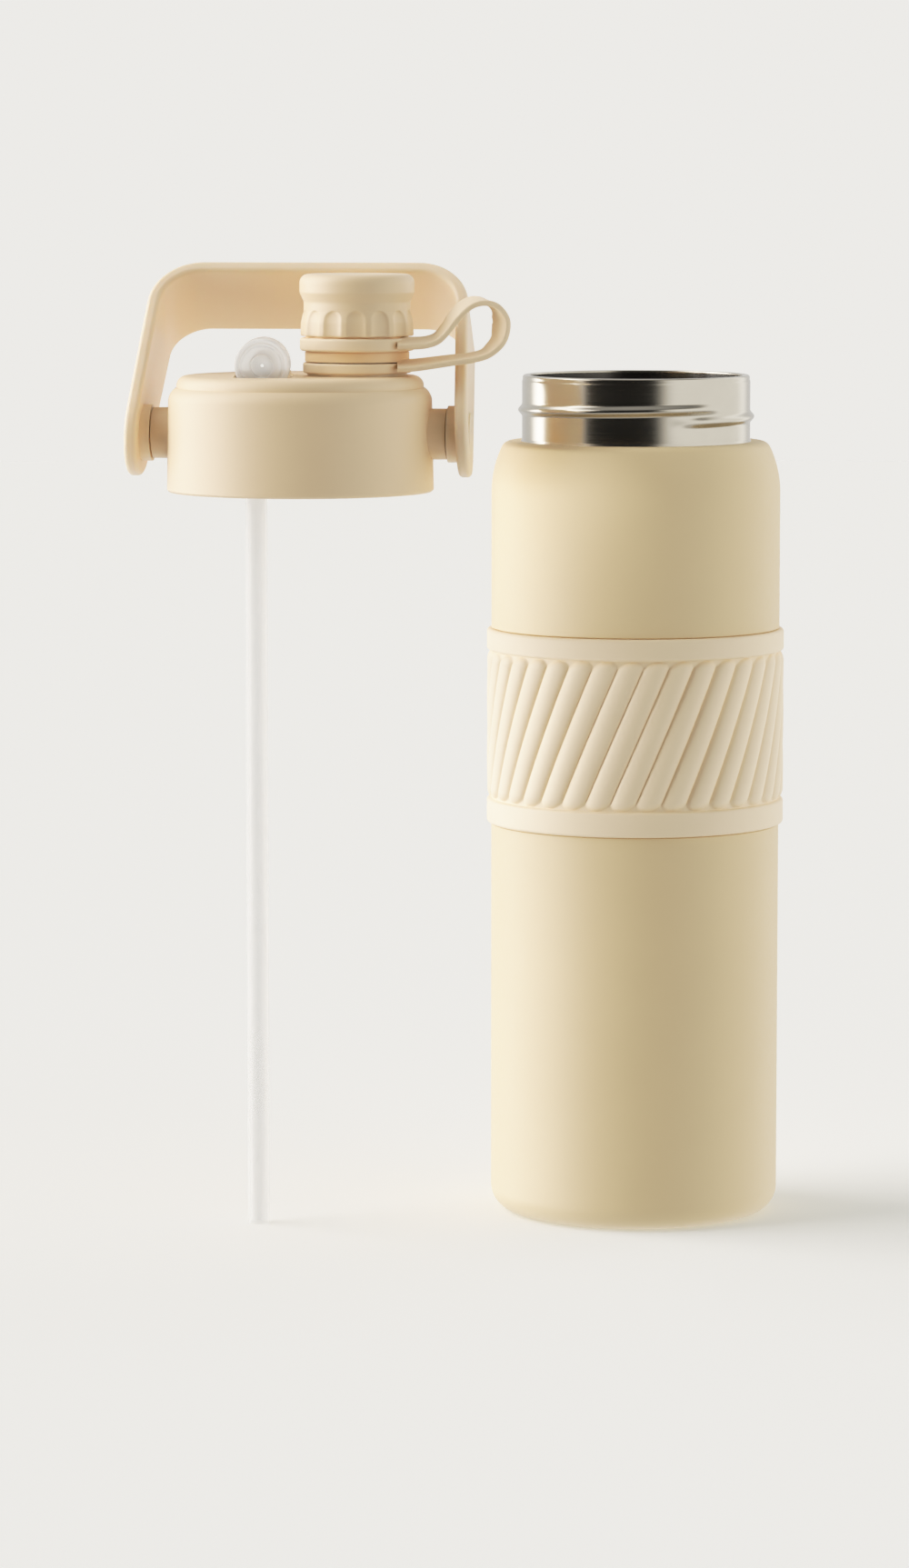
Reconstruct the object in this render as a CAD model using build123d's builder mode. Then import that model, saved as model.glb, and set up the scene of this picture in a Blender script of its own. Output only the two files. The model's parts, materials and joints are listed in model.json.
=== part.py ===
from build123d import *

# An insulated steel water bottle, open, with its two-way lid standing beside it on the straw.
# Millimetres. The origin is the centre of the bottle's foot, +Z is up and the front faces -Y.

import os
from math import asin, atan, cos, degrees, radians, sin

# ------------------------------------------------------------------ driving dimensions: bottle
BODY_RADIUS = 37.0
MOUTH_HEIGHT = 216.0
SHELL_WALL = 0.7
FOOT_RADIUS = 30.7
FOOT_LAND = 1.2

SHOULDER_START = 186.0
SHOULDER_RADIUS = 27.0
SHOULDER_EDGE_START = 197.58
SHOULDER_EDGE_RADIUS = 2.6
NECK_RADIUS = 29.2
NECK_WALL = 0.9

SLEEVE_BOTTOM = 101.0
SLEEVE_TOP = 151.1
SLEEVE_RADIUS = 38.15
SLEEVE_RECESS = 0.6
SLEEVE_BEAD_HEIGHT = 5.9
SLEEVE_BEAD_ROUND = 1.0
SLEEVE_BAND_SINK = 0.35

FLASK_RADIUS = 33.5
FLASK_WALL = 0.6
FLASK_FLOOR = 5.8
FLASK_FLOOR_ROUND = 9.0
FLASK_SHOULDER_LOW = 181.0
FLASK_SHOULDER_HIGH = 193.0
FLASK_NECK_RADIUS = 28.0
RIM_LIP_RADIUS = 0.7

BASE_PLATE_RADIUS = 29.4
BASE_PLATE_HEIGHT = 1.5
BASE_PLATE_THICKNESS = 0.8
SEAL_DIMPLE_RADIUS = 6.0
SEAL_DIMPLE_DEPTH = 0.6
SEAL_HOLE_RADIUS = 1.2
GETTER_RADIUS = 5.0
GETTER_THICKNESS = 1.2

# ------------------------------------------------------------------ driving dimensions: threads
BOTTLE_THREAD_PITCH = 3.2
BOTTLE_THREAD_CREST = 30.25
BOTTLE_THREAD_START = 204.8
BOTTLE_THREAD_TURNS = 1.1
BOTTLE_THREAD_START_ANGLE = -75.0
LINER_THREAD_CREST = 29.95
CAP_THREAD_PITCH = 4.0
CAP_THREAD_TURNS = 1.75
THREAD_ROOT_SINK = 0.35

# ------------------------------------------------------------------ driving dimensions: lid
LID_X = -85.2
LID_Y = -30.0
DECK_HEIGHT = 217.0
LID_RADIUS = 33.5
LID_DEPTH = 29.0
LID_WALL = 1.6
LID_DRAFT = 0.4
LID_EDGE_BREAK = 0.5
LID_SHOULDER_LOW = 6.6
LID_SHOULDER_MIDDLE = (32.62, -4.55)
LID_SHOULDER_RADIUS = 31.2
DECK_THICKNESS = 3.0
DECK_FLAT_RADIUS = 28.7
DECK_EDGE_MIDDLE = (30.38, -0.82)
DECK_RADIUS = 31.0
DECK_EDGE_DROP = 2.3
DECK_PLUG_RADIUS = 25.2
DECK_PLUG_DEPTH = 6.6

SPOUT_X = 14.3
SPOUT_COLLAR_RADIUS = 12.5
SPOUT_COLLAR_HEIGHT = 3.3
SPOUT_TUBE_RADIUS = 10.4
SPOUT_BORE_RADIUS = 8.6
SPOUT_HEIGHT = 21.0
SPOUT_THREAD_CREST = 11.3
SPOUT_THREAD_START = 8.6
SPOUT_LIP_ROUND = 0.6

LINER_WEB_THICKNESS = 3.4
LINER_WALL = 1.0
LINER_DEPTH = 28.3
LINER_THREAD_START = 26.6
LINER_THREAD_TURNS = 1.5
GASKET_OUTER = 30.4
GASKET_INNER = 24.5
GASKET_THICKNESS = 3.0
GASKET_ROUND = 0.8

STRAW_X = -11.4
STRAW_Y = 8.2
STRAW_RADIUS = 2.85
STRAW_BORE = 2.2
STRAW_PLUG_DEPTH = 12.0
SOCKET_RADIUS = 4.0
SOCKET_DEPTH = 21.0
SOCKET_FLANGE_RADIUS = 4.6
SOCKET_FLANGE_HEIGHT = 0.4

VENT_Y = 19.5
VENT_STEM_RADIUS = 2.2
VENT_FLAP_RADIUS = 4.2
VENT_FLAP_THICKNESS = 0.8

# ------------------------------------------------------------------ driving dimensions: nozzle
NOZZLE_X = -9.1
NOZZLE_RADIUS = 6.8
NOZZLE_BORE = 2.7
NOZZLE_AXIS_HEIGHT = 2.9
NOZZLE_TIP_Y = -16.0
NOZZLE_ROOT_Y = 0.6
NOZZLE_GROOVE_RADIUS = 5.3
NOZZLE_GROOVE_WIDTH = 0.5
NOZZLE_TIP_ROUND = 1.0
BARREL_Y = 4.0
BARREL_HEIGHT = -1.8
BARREL_RADIUS = 3.0
BARREL_HALF_LENGTH = 6.7
TRUNNION_RADIUS = 1.5
TRUNNION_REACH = 8.2
TRUNNION_END_GAP = 0.3
NECK_BLOCK_HALF_WIDTH = 3.0
NECK_BLOCK_LENGTH = 5.0
STEM_RADIUS = 3.4
STEM_BORE = 1.9
STEM_BACK_Y = 6.5
STEM_FRONT_Y = -11.0
POCKET_HALF_WIDTH = 7.3
POCKET_FRONT_Y = -16.8
POCKET_BACK_Y = 13.0
POCKET_DEPTH = 5.5
POCKET_CORNER = 4.0
RUNNING_FIT = 0.06

# ------------------------------------------------------------------ driving dimensions: spout cap
CAP_TOP = 25.4
CAP_SKIRT_BOTTOM = 9.9
CAP_HEAD_RADIUS = 14.4
CAP_WAIST_RADIUS = 13.4
CAP_SKIRT_RADIUS = 14.2
CAP_LINER_RADIUS = 12.2
CAP_LINER_BORE = 11.75
CAP_LINER_CREST = 10.8
CAP_CEILING = 23.2
CAP_COLLAR_RADIUS = 12.9
CAP_FLANGE_RADIUS = 13.1
CAP_FLANGE_BOTTOM = 3.6
CAP_FLANGE_TOP = 5.9
CAP_BROW_ROUND = 2.2
CAP_HEAD_DEPTH = 4.6
CAP_WAIST_DEPTH = 7.6
CAP_SKIRT_HEIGHT = 4.6
CAP_SKIRT_DRAFT = 0.1
CAP_SKIRT_CHAMFER = 0.6
CAP_FLUTES = 14
CAP_FLUTE_RADIUS = 1.6
CAP_FLUTE_DEPTH = 0.5
CAP_FLUTE_HEIGHT = 5.6
CAP_GASKET_THICKNESS = 1.6

# ------------------------------------------------------------------ driving dimensions: tether
UPPER_RING_TOP = 9.5
UPPER_RING_BOTTOM = 6.25
UPPER_RING_BORE = 12.98
UPPER_RING_RADIUS = 14.4
LOWER_RING_TOP = 3.3
LOWER_RING_BOTTOM = 0.7
LOWER_RING_RADIUS = 13.6
UPPER_RING_ROUND = 0.7
LOWER_RING_ROUND = 0.5
STRAP_THICKNESS = 1.5
STRAP_WIDTH = 7.0
STRAP_LEAVES_AT = -36.0
STRAP_HEADING = 1.0
STRAP_GAP = 0.2
# Corners of the loop in its own upright plane: distance out from the rings, height over the deck.
STRAP_ROUTE = [(-3, 7.7), (9.5, 8.4), (18.1, 19.2), (26.9, 18.4), (27.3, 5.8), (19, 3.6), (-3, 2.0)]
STRAP_BENDS = [8.0, 6.0, 4.4, 5.2, 12.0]

# ------------------------------------------------------------------ driving dimensions: handle
PIVOT_DROP = 14.5
HANDLE_LEAN = 40.0
HANDLE_TURN = -6.0
HANDLE_REACH = 46.7
HANDLE_HALF_WIDTH_PIVOT = 43.5
HANDLE_HALF_WIDTH_TOP = 40.2
HANDLE_BAND = 21.6
# The band grows wider towards the bar, on its lower edge only.
HANDLE_BAR_LOWER_EDGE = 14.1
HANDLE_THICKNESS = 3.2
HANDLE_CORNER = 13.5
HANDLE_EDGE_ROUND = 1.1
BOSS_RADIUS = 6.4
BOSS_REACH = 37.1
BOSS_ROOT = 32.2
HUB_RADIUS = 7.1
HUB_INNER = 37.4
HUB_OUTER = 41.0
PIN_RADIUS = 2.5
PIN_HEAD_RADIUS = 4.4
PIN_HEAD_THICKNESS = 1.4
PIN_HEAD_INNER = 40.5
PIN_TIP = 32.4
BUSH_RADIUS = 3.5
BUSH_END = 40.2
PIVOT_COVER_RADIUS = 5.4
PIVOT_COVER_THICKNESS = 0.8
PIVOT_COVER_OUTER = 43.2

# ------------------------------------------------------------------ derived values
RIM_SETBACK = 0.2
SLEEVE_BORE = BODY_RADIUS - SLEEVE_RECESS
SLEEVE_MIDDLE = (SLEEVE_BOTTOM + SLEEVE_TOP) / 2
SLEEVE_BAND_HEIGHT = SLEEVE_TOP - SLEEVE_BOTTOM - 2 * SLEEVE_BEAD_HEIGHT
NECK_BORE = NECK_RADIUS - NECK_WALL
NECK_TOP = MOUTH_HEIGHT - 2 * RIM_LIP_RADIUS
MOUTH_RADIUS = FLASK_NECK_RADIUS - FLASK_WALL
RIM_RADIUS = NECK_RADIUS - RIM_SETBACK
SHOULDER_TURN = degrees(asin((SHOULDER_EDGE_START - SHOULDER_START) / SHOULDER_RADIUS))
SHOULDER_TOP = SHOULDER_EDGE_START + SHOULDER_EDGE_RADIUS * (1 - sin(radians(SHOULDER_TURN)))
NECK_FOOT = SHOULDER_TOP - SHELL_WALL
LID_BORE = LID_RADIUS - LID_WALL
LINER_BORE = LID_BORE - LINER_WALL
LINER_WEB_BOTTOM = DECK_PLUG_DEPTH + LINER_WEB_THICKNESS
GASKET_BOTTOM = LINER_WEB_BOTTOM + GASKET_THICKNESS
STRAW_TOP = DECK_HEIGHT - STRAW_PLUG_DEPTH

LID_SIDE = Plane(origin=(LID_X, LID_Y, DECK_HEIGHT), x_dir=(1, 0, 0), z_dir=(0, -1, 0))
LID_DECK = Plane(origin=(LID_X, LID_Y, DECK_HEIGHT))
LID_AXIS = Axis((LID_X, LID_Y, 0), (0, 0, 1))
SPOUT_SIDE = Plane(origin=(LID_X + SPOUT_X, LID_Y, DECK_HEIGHT), x_dir=(1, 0, 0), z_dir=(0, -1, 0))
SPOUT_DECK = Plane(origin=(LID_X + SPOUT_X, LID_Y, DECK_HEIGHT))
SPOUT_AXIS = Axis((LID_X + SPOUT_X, LID_Y, 0), (0, 0, 1))
NOZZLE_ACROSS = Plane(origin=(LID_X + NOZZLE_X, LID_Y, DECK_HEIGHT), x_dir=(0, 1, 0), z_dir=(1, 0, 0))
NOZZLE_FACING = Plane(
    origin=(LID_X + NOZZLE_X, LID_Y, DECK_HEIGHT + NOZZLE_AXIS_HEIGHT),
    x_dir=(1, 0, 0),
    z_dir=(0, -1, 0),
)
PIVOT_ORIGIN = (LID_X, LID_Y, DECK_HEIGHT - PIVOT_DROP)
# The handle and its pivots stand a few degrees round the lid from the spout and the nozzle.
SIDEWAYS = Vector(cos(radians(HANDLE_TURN)), sin(radians(HANDLE_TURN)), 0)
REARWARD = Vector(-sin(radians(HANDLE_TURN)), cos(radians(HANDLE_TURN)), 0)
UPWARD = Vector(0, 0, 1)
LEAN_COSINE = cos(radians(HANDLE_LEAN))
LEAN_SINE = sin(radians(HANDLE_LEAN))
PIVOT_ACROSS = Plane(origin=PIVOT_ORIGIN, x_dir=REARWARD, z_dir=SIDEWAYS)
HANDLE_FACING = Plane(
    origin=PIVOT_ORIGIN,
    x_dir=SIDEWAYS,
    z_dir=UPWARD * LEAN_SINE - REARWARD * LEAN_COSINE,
)
HANDLE_ACROSS = Plane(
    origin=PIVOT_ORIGIN,
    x_dir=REARWARD * LEAN_COSINE - UPWARD * LEAN_SINE,
    z_dir=SIDEWAYS,
)
SIDES = (-1, 1)


def save(piece, name):
    """Labels a finished piece and writes it to its own STEP file."""
    piece.part.label = name
    export_step(piece.part, f"parts/{name}.step")


def helical_ridge(plane, wall_radius, crest_radius, pitch, turns, foot, crest, start_angle=0.0):
    """A right-handed thread ridge about a plane's normal, starting at the plane.

    foot and crest are the ridge's widths at the wall and at its top. A crest of 0 is a rolled,
    rounded bead. A crest radius inside the wall radius makes an internal thread.
    """
    rise = crest_radius - wall_radius
    sink = THREAD_ROOT_SINK if rise > 0 else -THREAD_ROOT_SINK
    with BuildPart(mode=Mode.PRIVATE) as ridge:
        with BuildLine() as path:
            Helix(pitch, pitch * turns, wall_radius - sink)
        with BuildSketch(Plane(origin=path.line @ 0, x_dir=(1, 0, 0), z_dir=path.line % 0)):
            with BuildLine():
                low = Line((0, -foot / 2), (sink, -foot / 2))
                high = Line((sink, foot / 2), (0, foot / 2))
                if crest:
                    Polyline(low @ 1, (sink + rise, -crest / 2), (sink + rise, crest / 2), high @ 0)
                else:
                    ThreePointArc(low @ 1, (sink + rise, 0), high @ 0)
                Line(high @ 1, low @ 0)
            make_face()
        sweep(path=path.line, is_frenet=True)
    return plane.location * Rot(0, 0, start_angle) * ridge.part


os.makedirs("parts", exist_ok=True)

# ------------------------------------------------------------------ bottle: steel
# The outer shell is one drawn tube: it rolls under into the foot and over into the shoulder,
# and has a shallow recess that the grip sleeve sits in.
with BuildPart() as outer_shell:
    with BuildSketch(Plane.XZ):
        with BuildLine():
            land = Line((FOOT_RADIUS - FOOT_LAND, 0), (FOOT_RADIUS, 0))
            foot = JernArc(land @ 1, (1, 0), BODY_RADIUS - FOOT_RADIUS, 90)
            side = Polyline(
                foot @ 1,
                (BODY_RADIUS, SLEEVE_BOTTOM),
                (SLEEVE_BORE, SLEEVE_BOTTOM),
                (SLEEVE_BORE, SLEEVE_TOP),
                (BODY_RADIUS, SLEEVE_TOP),
                (BODY_RADIUS, SHOULDER_START),
            )
            shoulder = JernArc(side @ 1, (0, 1), SHOULDER_RADIUS, SHOULDER_TURN)
            edge = JernArc(shoulder @ 1, shoulder % 1, SHOULDER_EDGE_RADIUS, 90 - SHOULDER_TURN)
            Line(edge @ 1, (NECK_RADIUS, (edge @ 1).Y))
            offset(amount=SHELL_WALL, side=Side.LEFT)
        make_face()
    revolve(axis=Axis.Z)
save(outer_shell, "outer_shell")

# The bare neck is welded into the shoulder and carries the rolled thread.
neck_ridge = helical_ridge(
    Plane.XY.offset(BOTTLE_THREAD_START),
    NECK_RADIUS,
    BOTTLE_THREAD_CREST,
    BOTTLE_THREAD_PITCH,
    BOTTLE_THREAD_TURNS,
    foot=3.0,
    crest=0,
    start_angle=BOTTLE_THREAD_START_ANGLE,
)
with BuildPart() as threaded_neck:
    with BuildSketch(Plane.XY.offset(NECK_FOOT)):
        Circle(NECK_RADIUS)
        Circle(NECK_BORE, mode=Mode.SUBTRACT)
    extrude(amount=NECK_TOP - NECK_FOOT)
    add(neck_ridge)
save(threaded_neck, "threaded_neck")

# The inner flask's mouth is rolled outwards over the neck, which leaves a rounded drinking lip.
with BuildPart() as inner_flask:
    with BuildSketch(Plane.XZ):
        with BuildLine():
            floor = Line((0, FLASK_FLOOR), (FLASK_RADIUS - FLASK_FLOOR_ROUND, FLASK_FLOOR))
            corner = JernArc(floor @ 1, (1, 0), FLASK_FLOOR_ROUND, 90)
            wall = Line(corner @ 1, (FLASK_RADIUS, FLASK_SHOULDER_LOW))
            rise = FLASK_SHOULDER_HIGH - FLASK_SHOULDER_LOW
            turn = 2 * degrees(atan((FLASK_RADIUS - FLASK_NECK_RADIUS) / rise))
            bend = rise / (2 * sin(radians(turn)))
            inward = JernArc(wall @ 1, (0, 1), bend, turn)
            upright = JernArc(inward @ 1, inward % 1, bend, -turn)
            Line(upright @ 1, (FLASK_NECK_RADIUS, MOUTH_HEIGHT - RIM_LIP_RADIUS))
            offset(amount=FLASK_WALL, side=Side.LEFT)
        make_face()
    revolve(axis=Axis.Z)
    with BuildSketch(Plane.XZ) as rim:
        with Locations(((MOUTH_RADIUS + RIM_RADIUS) / 2, (NECK_TOP + MOUTH_HEIGHT) / 2)):
            Rectangle(RIM_RADIUS - MOUTH_RADIUS, MOUTH_HEIGHT - NECK_TOP)
        fillet(rim.vertices().group_by(Axis.Z)[-1], RIM_LIP_RADIUS)
    revolve(axis=Axis.Z)
save(inner_flask, "inner_flask")

# The base plate closes the vacuum space. Its dimple holds the sealed evacuation hole.
with BuildPart() as base_plate:
    with BuildSketch(Plane.XY.offset(BASE_PLATE_HEIGHT)):
        Circle(BASE_PLATE_RADIUS)
    extrude(amount=BASE_PLATE_THICKNESS)
    with BuildSketch(Plane.XY.offset(BASE_PLATE_HEIGHT)):
        Circle(SEAL_DIMPLE_RADIUS)
    extrude(amount=SEAL_DIMPLE_DEPTH, mode=Mode.SUBTRACT)
    with BuildSketch(Plane.XY.offset(BASE_PLATE_HEIGHT + BASE_PLATE_THICKNESS)):
        Circle(SEAL_DIMPLE_RADIUS + BASE_PLATE_THICKNESS)
    extrude(amount=SEAL_DIMPLE_DEPTH)
    Hole(SEAL_HOLE_RADIUS)
save(base_plate, "base_plate")

with BuildPart() as vacuum_seal:
    with BuildSketch(Plane.XY.offset(BASE_PLATE_HEIGHT)):
        Circle(SEAL_DIMPLE_RADIUS)
    extrude(amount=SEAL_DIMPLE_DEPTH)
save(vacuum_seal, "vacuum_seal")

with BuildPart() as getter:
    with BuildSketch(Plane.XY.offset(FLASK_FLOOR - GETTER_THICKNESS)):
        Circle(GETTER_RADIUS)
        Circle(SEAL_HOLE_RADIUS, mode=Mode.SUBTRACT)
    extrude(amount=GETTER_THICKNESS)
save(getter, "getter")

# ------------------------------------------------------------------ bottle: silicone sleeve
# Two rounded beads with a slightly sunk band between them.
with BuildPart() as grip_sleeve:
    with BuildSketch(Plane.XY.offset(SLEEVE_BOTTOM)):
        Circle(SLEEVE_RADIUS)
        Circle(SLEEVE_BORE, mode=Mode.SUBTRACT)
    extrude(amount=SLEEVE_TOP - SLEEVE_BOTTOM)
    rims = grip_sleeve.edges().filter_by(GeomType.CIRCLE).group_by(SortBy.RADIUS)[-1]
    fillet(rims, SLEEVE_BEAD_ROUND)
    with BuildSketch(Plane.XZ):
        with Locations((SLEEVE_RADIUS, SLEEVE_MIDDLE)):
            Rectangle(2 * SLEEVE_BAND_SINK, SLEEVE_BAND_HEIGHT)
    revolve(axis=Axis.Z, mode=Mode.SUBTRACT)
save(grip_sleeve, "grip_sleeve")

# ------------------------------------------------------------------ lid: hard parts
SHELL_TOP = -DECK_THICKNESS
with BuildPart() as lid_shell:
    with BuildSketch(LID_SIDE):
        with BuildLine():
            skirt = Polyline(
                (LID_BORE, -LID_DEPTH),
                (LID_RADIUS - LID_EDGE_BREAK, -LID_DEPTH),
                (LID_RADIUS, -LID_DEPTH + LID_EDGE_BREAK),
                (LID_RADIUS - LID_DRAFT, -LID_SHOULDER_LOW),
            )
            brim = ThreePointArc(skirt @ 1, LID_SHOULDER_MIDDLE, (LID_SHOULDER_RADIUS, SHELL_TOP))
            Polyline(
                brim @ 1,
                (DECK_PLUG_RADIUS, SHELL_TOP),
                (DECK_PLUG_RADIUS, -DECK_PLUG_DEPTH),
                (LID_BORE, -DECK_PLUG_DEPTH),
                skirt @ 0,
            )
        make_face()
    revolve(axis=LID_AXIS)
    # Two round bosses carry the handle's pivots.
    for side in SIDES:
        with BuildSketch(PIVOT_ACROSS.offset(side * BOSS_ROOT)):
            Circle(BOSS_RADIUS)
        extrude(amount=side * (BOSS_REACH - BOSS_ROOT))
        with BuildSketch(PIVOT_ACROSS.offset(side * PIN_TIP)):
            Circle(PIN_RADIUS)
        extrude(amount=side * (BOSS_REACH - PIN_TIP), mode=Mode.SUBTRACT)
    with BuildSketch(LID_DECK.offset(-LID_DEPTH)):
        Circle(LID_BORE)
    extrude(amount=LID_DEPTH - DECK_PLUG_DEPTH, mode=Mode.SUBTRACT)
save(lid_shell, "lid_shell")

# The deck is the lid's top plate, with the nozzle's pocket in it and a hole for the spout.
with BuildPart() as lid_deck:
    with BuildSketch(LID_SIDE):
        with BuildLine():
            top = Line((0, 0), (DECK_FLAT_RADIUS, 0))
            rounded_edge = ThreePointArc(top @ 1, DECK_EDGE_MIDDLE, (DECK_RADIUS, -DECK_EDGE_DROP))
            Polyline(
                rounded_edge @ 1,
                (DECK_RADIUS, -DECK_THICKNESS),
                (DECK_PLUG_RADIUS, -DECK_THICKNESS),
                (DECK_PLUG_RADIUS, -DECK_PLUG_DEPTH),
                (0, -DECK_PLUG_DEPTH),
                top @ 0,
            )
        make_face()
    revolve(axis=LID_AXIS)
    with BuildSketch(LID_DECK):
        with Locations((NOZZLE_X, (POCKET_FRONT_Y + POCKET_BACK_Y) / 2)):
            RectangleRounded(2 * POCKET_HALF_WIDTH, POCKET_BACK_Y - POCKET_FRONT_Y, POCKET_CORNER)
    extrude(amount=-POCKET_DEPTH, mode=Mode.SUBTRACT)
    with BuildSketch(NOZZLE_ACROSS):
        with Locations((BARREL_Y, BARREL_HEIGHT)):
            Circle(TRUNNION_RADIUS + RUNNING_FIT)
    extrude(amount=TRUNNION_REACH + TRUNNION_END_GAP, both=True, mode=Mode.SUBTRACT)
    with BuildSketch(LID_DECK.offset(-DECK_PLUG_DEPTH)):
        with Locations((STRAW_X, STRAW_Y)):
            Circle(SOCKET_RADIUS)
        with Locations((SPOUT_X, 0)):
            Circle(SPOUT_TUBE_RADIUS)
    extrude(amount=DECK_PLUG_DEPTH, mode=Mode.SUBTRACT)
save(lid_deck, "lid_deck")

# The drinking spout is a threaded tube let into the deck, with a collar that rests on it.
spout_ridge = helical_ridge(
    SPOUT_DECK.offset(SPOUT_THREAD_START),
    SPOUT_TUBE_RADIUS,
    SPOUT_THREAD_CREST,
    CAP_THREAD_PITCH,
    CAP_THREAD_TURNS,
    foot=1.7,
    crest=0.8,
)
with BuildPart() as spout_tube:
    with BuildSketch(SPOUT_DECK.offset(-DECK_PLUG_DEPTH)):
        Circle(SPOUT_TUBE_RADIUS)
    extrude(amount=DECK_PLUG_DEPTH + SPOUT_HEIGHT)
    with BuildSketch(SPOUT_DECK):
        Circle(SPOUT_COLLAR_RADIUS)
    extrude(amount=SPOUT_COLLAR_HEIGHT)
    add(spout_ridge)
    with BuildSketch(SPOUT_DECK.offset(-DECK_PLUG_DEPTH)):
        Circle(SPOUT_BORE_RADIUS)
    extrude(amount=DECK_PLUG_DEPTH + SPOUT_HEIGHT, mode=Mode.SUBTRACT)
    lip = spout_tube.edges().filter_by(GeomType.CIRCLE).group_by(Axis.Z)[-1]
    fillet(lip, SPOUT_LIP_ROUND)
save(spout_tube, "spout_tube")

liner_ridge = helical_ridge(
    LID_DECK.offset(-LINER_THREAD_START),
    LINER_BORE,
    LINER_THREAD_CREST,
    BOTTLE_THREAD_PITCH,
    LINER_THREAD_TURNS,
    foot=1.6,
    crest=0.7,
)
# The liner holds the lid's thread, and its web carries the gasket, the straw socket and the vent.
with BuildPart() as lid_liner:
    with BuildSketch(LID_SIDE):
        with BuildLine():
            Polyline(
                (0, -DECK_PLUG_DEPTH),
                (LID_BORE, -DECK_PLUG_DEPTH),
                (LID_BORE, -LINER_DEPTH),
                (LINER_BORE, -LINER_DEPTH),
                (LINER_BORE, -LINER_WEB_BOTTOM),
                (0, -LINER_WEB_BOTTOM),
                close=True,
            )
        make_face()
    revolve(axis=LID_AXIS)
    add(liner_ridge)
    with BuildSketch(LID_DECK.offset(-LINER_WEB_BOTTOM)):
        with Locations((SPOUT_X, 0)):
            Circle(SPOUT_BORE_RADIUS)
        with Locations((STRAW_X, STRAW_Y)):
            Circle(SOCKET_RADIUS)
        with Locations((0, VENT_Y)):
            Circle(VENT_STEM_RADIUS)
    extrude(amount=LINER_WEB_THICKNESS, mode=Mode.SUBTRACT)
save(lid_liner, "lid_liner")

# ------------------------------------------------------------------ lid: soft parts
with BuildPart() as lid_gasket:
    with BuildSketch(LID_DECK.offset(-GASKET_BOTTOM)):
        Circle(GASKET_OUTER)
        Circle(GASKET_INNER, mode=Mode.SUBTRACT)
    extrude(amount=GASKET_THICKNESS)
    soft_edges = lid_gasket.edges().filter_by(GeomType.CIRCLE).group_by(Axis.Z)[0]
    fillet(soft_edges, GASKET_ROUND)
save(lid_gasket, "lid_gasket")

# The socket is a grommet: its flange seals under the nozzle and its tube grips the straw.
SOCKET_PLANE = Plane(origin=(LID_X + STRAW_X, LID_Y + STRAW_Y, DECK_HEIGHT))
with BuildPart() as straw_socket:
    with BuildSketch(SOCKET_PLANE.offset(-SOCKET_DEPTH)):
        Circle(SOCKET_RADIUS)
    extrude(amount=SOCKET_DEPTH - POCKET_DEPTH)
    with BuildSketch(SOCKET_PLANE.offset(-POCKET_DEPTH)):
        Circle(SOCKET_FLANGE_RADIUS)
    extrude(amount=SOCKET_FLANGE_HEIGHT)
    with BuildSketch(SOCKET_PLANE.offset(-SOCKET_DEPTH)):
        Circle(STRAW_RADIUS)
    extrude(amount=SOCKET_DEPTH - STRAW_PLUG_DEPTH, mode=Mode.SUBTRACT)
    with BuildSketch(SOCKET_PLANE.offset(-SOCKET_DEPTH)):
        Circle(STRAW_BORE)
    extrude(amount=SOCKET_DEPTH, mode=Mode.SUBTRACT)
save(straw_socket, "straw_socket")

with BuildPart() as straw:
    with BuildSketch(Plane(origin=(LID_X + STRAW_X, LID_Y + STRAW_Y, 0))):
        Circle(STRAW_RADIUS)
        Circle(STRAW_BORE, mode=Mode.SUBTRACT)
    extrude(amount=STRAW_TOP)
save(straw, "straw")

with BuildPart() as vent_valve:
    with BuildSketch(LID_DECK.offset(-LINER_WEB_BOTTOM)):
        with Locations((0, VENT_Y)):
            Circle(VENT_STEM_RADIUS)
    extrude(amount=LINER_WEB_THICKNESS)
    with BuildSketch(LID_DECK.offset(-LINER_WEB_BOTTOM)):
        with Locations((0, VENT_Y)):
            Circle(VENT_FLAP_RADIUS)
    extrude(amount=-VENT_FLAP_THICKNESS)
save(vent_valve, "vent_valve")

# ------------------------------------------------------------------ nozzle, folded down
# The carrier turns on two trunnions in the pocket's walls and holds the soft nozzle on its stem.
with BuildPart() as nozzle_carrier:
    with BuildSketch(NOZZLE_ACROSS):
        with Locations((BARREL_Y, BARREL_HEIGHT)):
            Circle(BARREL_RADIUS)
    extrude(amount=BARREL_HALF_LENGTH, both=True)
    with BuildSketch(NOZZLE_ACROSS):
        with Locations((BARREL_Y, BARREL_HEIGHT)):
            Circle(TRUNNION_RADIUS)
    extrude(amount=TRUNNION_REACH, both=True)
    with BuildSketch(NOZZLE_ACROSS):
        with Locations((BARREL_Y, (BARREL_HEIGHT + NOZZLE_AXIS_HEIGHT) / 2)):
            Rectangle(NECK_BLOCK_LENGTH, NOZZLE_AXIS_HEIGHT - BARREL_HEIGHT)
    extrude(amount=NECK_BLOCK_HALF_WIDTH, both=True)
    with BuildSketch(NOZZLE_FACING.offset(-STEM_BACK_Y)):
        Circle(STEM_RADIUS)
    extrude(amount=STEM_BACK_Y - STEM_FRONT_Y)
    with BuildSketch(NOZZLE_FACING.offset(-STEM_BACK_Y)):
        Circle(STEM_BORE)
    extrude(amount=STEM_BACK_Y - STEM_FRONT_Y, mode=Mode.SUBTRACT)
save(nozzle_carrier, "nozzle_carrier")

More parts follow.
